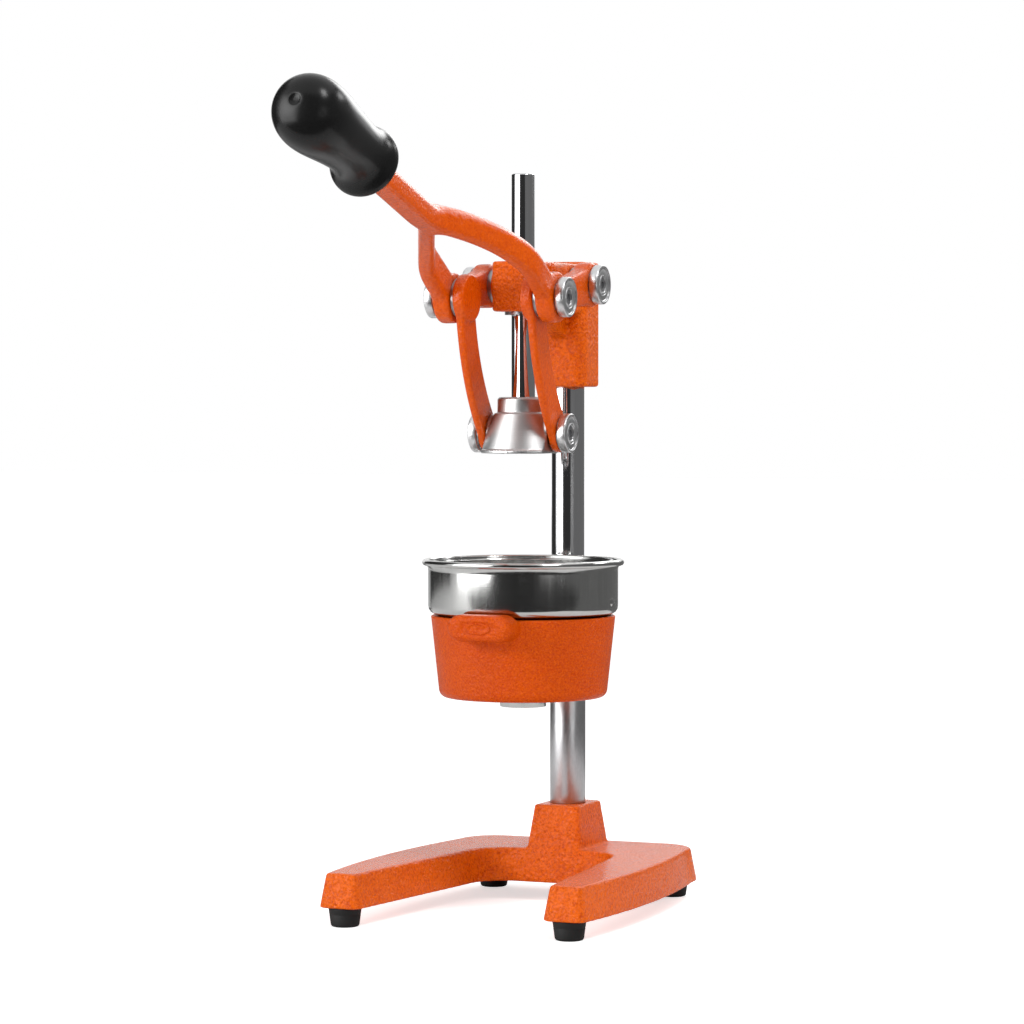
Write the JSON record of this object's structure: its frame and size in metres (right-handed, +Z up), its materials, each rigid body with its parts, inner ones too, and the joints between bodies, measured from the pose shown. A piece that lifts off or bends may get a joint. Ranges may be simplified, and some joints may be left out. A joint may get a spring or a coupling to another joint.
{
  "type": "citrus press juicer",
  "caption": "Hand citrus press: a forked lever and two links push a bell down a guided rod over a steel bowl held on a column.",
  "frame": {"origin": "on the floor, under the middle of the juicer's overall box, feet at Z 0", "axes": "+Z up, -Y towards the user and the grip, +X to the user's right; X = 0 is the plane of symmetry"},
  "size_m": [0.2204, 0.5156, 0.5916],
  "materials": {
    "orange_cast": "textured enamel over a casting",
    "orange_smooth": "smoother enamel over a casting",
    "chrome": "polished",
    "satin_tube": "satin",
    "bowl_steel": "brushed round, polished rim",
    "bell_aluminium": "fine satin casting",
    "cap_steel": "turned",
    "zinc_steel": "zinc plated",
    "bush_brass": "plain bearing metal",
    "black_grip": "glossy moulding",
    "foot_rubber": "matte"
  },
  "bodies": {
    "frame": {"base_casting": "orange_cast", "column": "chrome", "column_bolt": "zinc_steel", "column_washer": "zinc_steel", "column_sleeve": "satin_tube", "head_casting": "orange_cast", "head_clamp_screw_lower": "zinc_steel", "head_clamp_screw_upper": "zinc_steel", "rod_bush": "zinc_steel", "shaft_bush_left": "bush_brass", "shaft_bush_right": "bush_brass", "foot_front_left": "foot_rubber", "foot_screw_front_left": "zinc_steel", "foot_front_right": "foot_rubber", "foot_screw_front_right": "zinc_steel", "foot_rear_left": "foot_rubber", "foot_screw_rear_left": "zinc_steel", "foot_rear_right": "foot_rubber", "foot_screw_rear_right": "zinc_steel"},
    "lever": {"lever_casting": "orange_smooth", "grip": "black_grip", "pivot_shaft": "zinc_steel", "rear_spacer_left": "zinc_steel", "rear_washer_left": "zinc_steel", "rear_cap_left": "cap_steel", "rear_cap_screw_left": "zinc_steel", "rear_spacer_right": "zinc_steel", "rear_washer_right": "zinc_steel", "rear_cap_right": "cap_steel", "rear_cap_screw_right": "zinc_steel"},
    "link_left": {"link_left": "orange_smooth", "front_pin_left": "zinc_steel", "front_spacer_left": "zinc_steel", "front_washer_left": "zinc_steel", "front_cap_left": "cap_steel", "front_cap_screw_left": "zinc_steel"},
    "link_right": {"link_right": "orange_smooth", "front_pin_right": "zinc_steel", "front_spacer_right": "zinc_steel", "front_washer_right": "zinc_steel", "front_cap_right": "cap_steel", "front_cap_screw_right": "zinc_steel"},
    "plunger": {"plunger_rod": "chrome", "press_bell": "bell_aluminium", "bell_set_screw": "zinc_steel", "lower_pin_left": "zinc_steel", "lower_washer_left": "zinc_steel", "lower_cap_left": "cap_steel", "lower_cap_screw_left": "zinc_steel", "lower_pin_right": "zinc_steel", "lower_washer_right": "zinc_steel", "lower_cap_right": "cap_steel", "lower_cap_screw_right": "zinc_steel"},
    "cup": {"cup_holder": "orange_cast", "cup_clamp_screw": "zinc_steel", "juice_bowl": "bowl_steel", "strainer": "bowl_steel", "reamer": "bell_aluminium"}
  },
  "joints": [
    {"name": "lever_swing", "type": "hinge", "parent": "frame", "child": "lever", "pos_m": [0, 0.14847, 0.463], "axis": [1, 0, 0], "range_deg": [-4, 42]},
    {"name": "plunger_slide", "type": "slide", "parent": "frame", "child": "plunger", "axis": [0, 0, -1], "range_m": [-0.006, 0.0525]},
    {"name": "link_left_pivot", "type": "hinge", "parent": "lever", "child": "link_left", "pos_m": [-0.028, 0.08157, 0.4525], "axis": [1, 0, 0], "range_deg": [-56, 6]},
    {"name": "link_right_pivot", "type": "hinge", "parent": "lever", "child": "link_right", "pos_m": [0.028, 0.08157, 0.4525], "axis": [1, 0, 0], "range_deg": [-56, 6]},
    {"name": "cup_height", "type": "slide", "parent": "frame", "child": "cup", "axis": [0, 0, 1], "range_m": [0, 0.045]}
  ],
  "couplings": [
    {"joint": "plunger_slide", "follows": "lever_swing", "m_per_rad": 0.06961},
    {"joint": "link_left_pivot", "follows": "lever_swing", "ratio": -1.29},
    {"joint": "link_right_pivot", "follows": "lever_swing", "ratio": -1.29}
  ]
}
